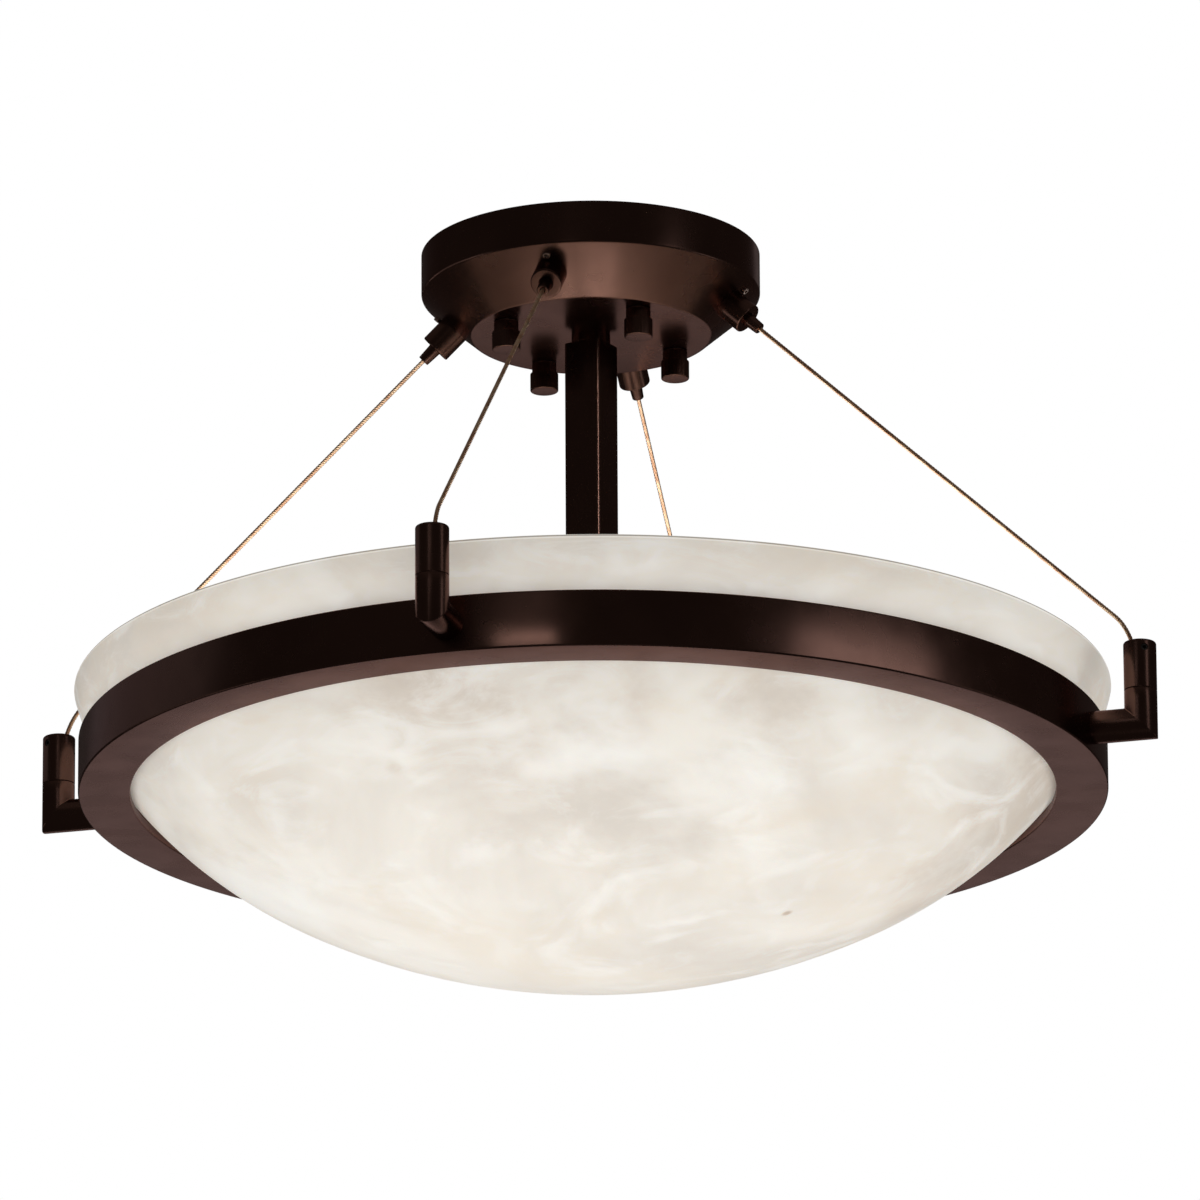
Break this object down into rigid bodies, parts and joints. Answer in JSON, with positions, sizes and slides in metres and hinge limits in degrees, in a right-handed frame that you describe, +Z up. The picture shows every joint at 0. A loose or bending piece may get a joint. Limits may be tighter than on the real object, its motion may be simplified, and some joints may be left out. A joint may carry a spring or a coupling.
{
  "type": "semi flush ceiling light",
  "caption": "Semi flush ceiling light: a round canopy and a square post over a wide bowl that rests in a ring hung from wire cables at its corner elbows.",
  "frame": {"origin": "on the canopy's axis, in the ceiling plane, midway between the slots for the ceiling box's screws", "axes": "+Z up to the ceiling; -Y towards the front cable and X towards the right and left cables, so the slots for the box screws lie along X"},
  "size_m": [0.5146, 0.5146, 0.3333],
  "materials": {
    "bronze": "satin oil rubbed bronze",
    "zinc_steel": "zinc plated steel",
    "dark_steel": "blackened steel screws",
    "earth_screw": "green lacquered steel",
    "cable_steel": "twisted wire rope, pale gold",
    "bowl_glass": "off-white glass with soft grey-beige clouds, alabaster look",
    "brass": "plain brass",
    "lamp_holder": "black moulded lamp holder",
    "lamp_shell": "plain aluminium",
    "lamp_glass": "soft white lamp glass"
  },
  "bodies": {
    "fixture": {"canopy": "bronze", "mounting_plate": "zinc_steel", "plate_studs": "zinc_steel", "ground_screw": "earth_screw", "gripper_body_front": "bronze", "gripper_body_right": "bronze", "gripper_body_back": "bronze", "gripper_body_left": "bronze", "cable_front": "cable_steel", "cable_right": "cable_steel", "cable_back": "cable_steel", "cable_left": "cable_steel", "cable_cap_front": "bronze", "cable_cap_right": "bronze", "cable_cap_back": "bronze", "cable_cap_left": "bronze", "elbow_front": "bronze", "elbow_right": "bronze", "elbow_back": "bronze", "elbow_left": "bronze", "gripper_nuts": "zinc_steel", "cap_set_screws": "dark_steel", "cable_stops": "zinc_steel", "ring": "bronze", "elbow_screws": "dark_steel", "stem_rod": "zinc_steel", "stem_top_washer": "zinc_steel", "stem_top_nut": "zinc_steel", "stem_neck": "bronze", "post_tube": "bronze", "cluster_drum": "bronze", "cluster_lock_nut": "zinc_steel", "cluster_cover": "bronze", "cluster_cap_nut": "bronze", "socket_nipples": "zinc_steel", "socket_nipple_nuts": "zinc_steel", "socket_liners": "brass", "socket_contacts": "brass", "socket_1": "lamp_holder", "socket_2": "lamp_holder", "socket_3": "lamp_holder"},
    "bowl": {"bowl": "bowl_glass"},
    "thumb_nut_1": {"thumb_nut_1": "bronze"},
    "thumb_nut_2": {"thumb_nut_2": "bronze"},
    "thumb_nut_3": {"thumb_nut_3": "bronze"},
    "thumb_nut_4": {"thumb_nut_4": "bronze"},
    "plunger_front": {"gripper_plunger_front": "bronze"},
    "plunger_right": {"gripper_plunger_right": "bronze"},
    "plunger_back": {"gripper_plunger_back": "bronze"},
    "plunger_left": {"gripper_plunger_left": "bronze"},
    "lamp_1": {"lamp_base_1": "lamp_shell", "lamp_glass_1": "lamp_glass"},
    "lamp_2": {"lamp_base_2": "lamp_shell", "lamp_glass_2": "lamp_glass"},
    "lamp_3": {"lamp_base_3": "lamp_shell", "lamp_glass_3": "lamp_glass"}
  },
  "joints": [
    {"name": "bowl_lift", "type": "slide", "parent": "fixture", "child": "bowl", "axis": [0, 0, 1], "range_m": [0, 0.018]},
    {"name": "thumb_nut_1_turn", "type": "hinge", "parent": "fixture", "child": "thumb_nut_1", "pos_m": [0.03069, 0.03069, -0.045], "axis": [0, 0, 1], "continuous": true},
    {"name": "thumb_nut_2_turn", "type": "hinge", "parent": "fixture", "child": "thumb_nut_2", "pos_m": [-0.03069, 0.03069, -0.045], "axis": [0, 0, 1], "continuous": true},
    {"name": "thumb_nut_3_turn", "type": "hinge", "parent": "fixture", "child": "thumb_nut_3", "pos_m": [-0.03069, -0.03069, -0.045], "axis": [0, 0, 1], "continuous": true},
    {"name": "thumb_nut_4_turn", "type": "hinge", "parent": "fixture", "child": "thumb_nut_4", "pos_m": [0.03069, -0.03069, -0.045], "axis": [0, 0, 1], "continuous": true},
    {"name": "plunger_front_press", "type": "slide", "parent": "fixture", "child": "plunger_front", "axis": [0, 0.7323, 0.681], "range_m": [0, 0.0015], "stiffness_N_per_m": 1500, "springref_m": -0.001},
    {"name": "plunger_right_press", "type": "slide", "parent": "fixture", "child": "plunger_right", "axis": [-0.7323, 0, 0.681], "range_m": [0, 0.0015], "stiffness_N_per_m": 1500, "springref_m": -0.001},
    {"name": "plunger_back_press", "type": "slide", "parent": "fixture", "child": "plunger_back", "axis": [0, -0.7323, 0.681], "range_m": [0, 0.0015], "stiffness_N_per_m": 1500, "springref_m": -0.001},
    {"name": "plunger_left_press", "type": "slide", "parent": "fixture", "child": "plunger_left", "axis": [0.7323, 0, 0.681], "range_m": [0, 0.0015], "stiffness_N_per_m": 1500, "springref_m": -0.001},
    {"name": "lamp_1_turn", "type": "hinge", "parent": "fixture", "child": "lamp_1", "pos_m": [0, 0, -0.236], "axis": [0, -1, 0], "continuous": true},
    {"name": "lamp_2_turn", "type": "hinge", "parent": "fixture", "child": "lamp_2", "pos_m": [0, 0, -0.236], "axis": [0.866, 0.5, 0], "continuous": true},
    {"name": "lamp_3_turn", "type": "hinge", "parent": "fixture", "child": "lamp_3", "pos_m": [0, 0, -0.236], "axis": [-0.866, 0.5, 0], "continuous": true}
  ]
}
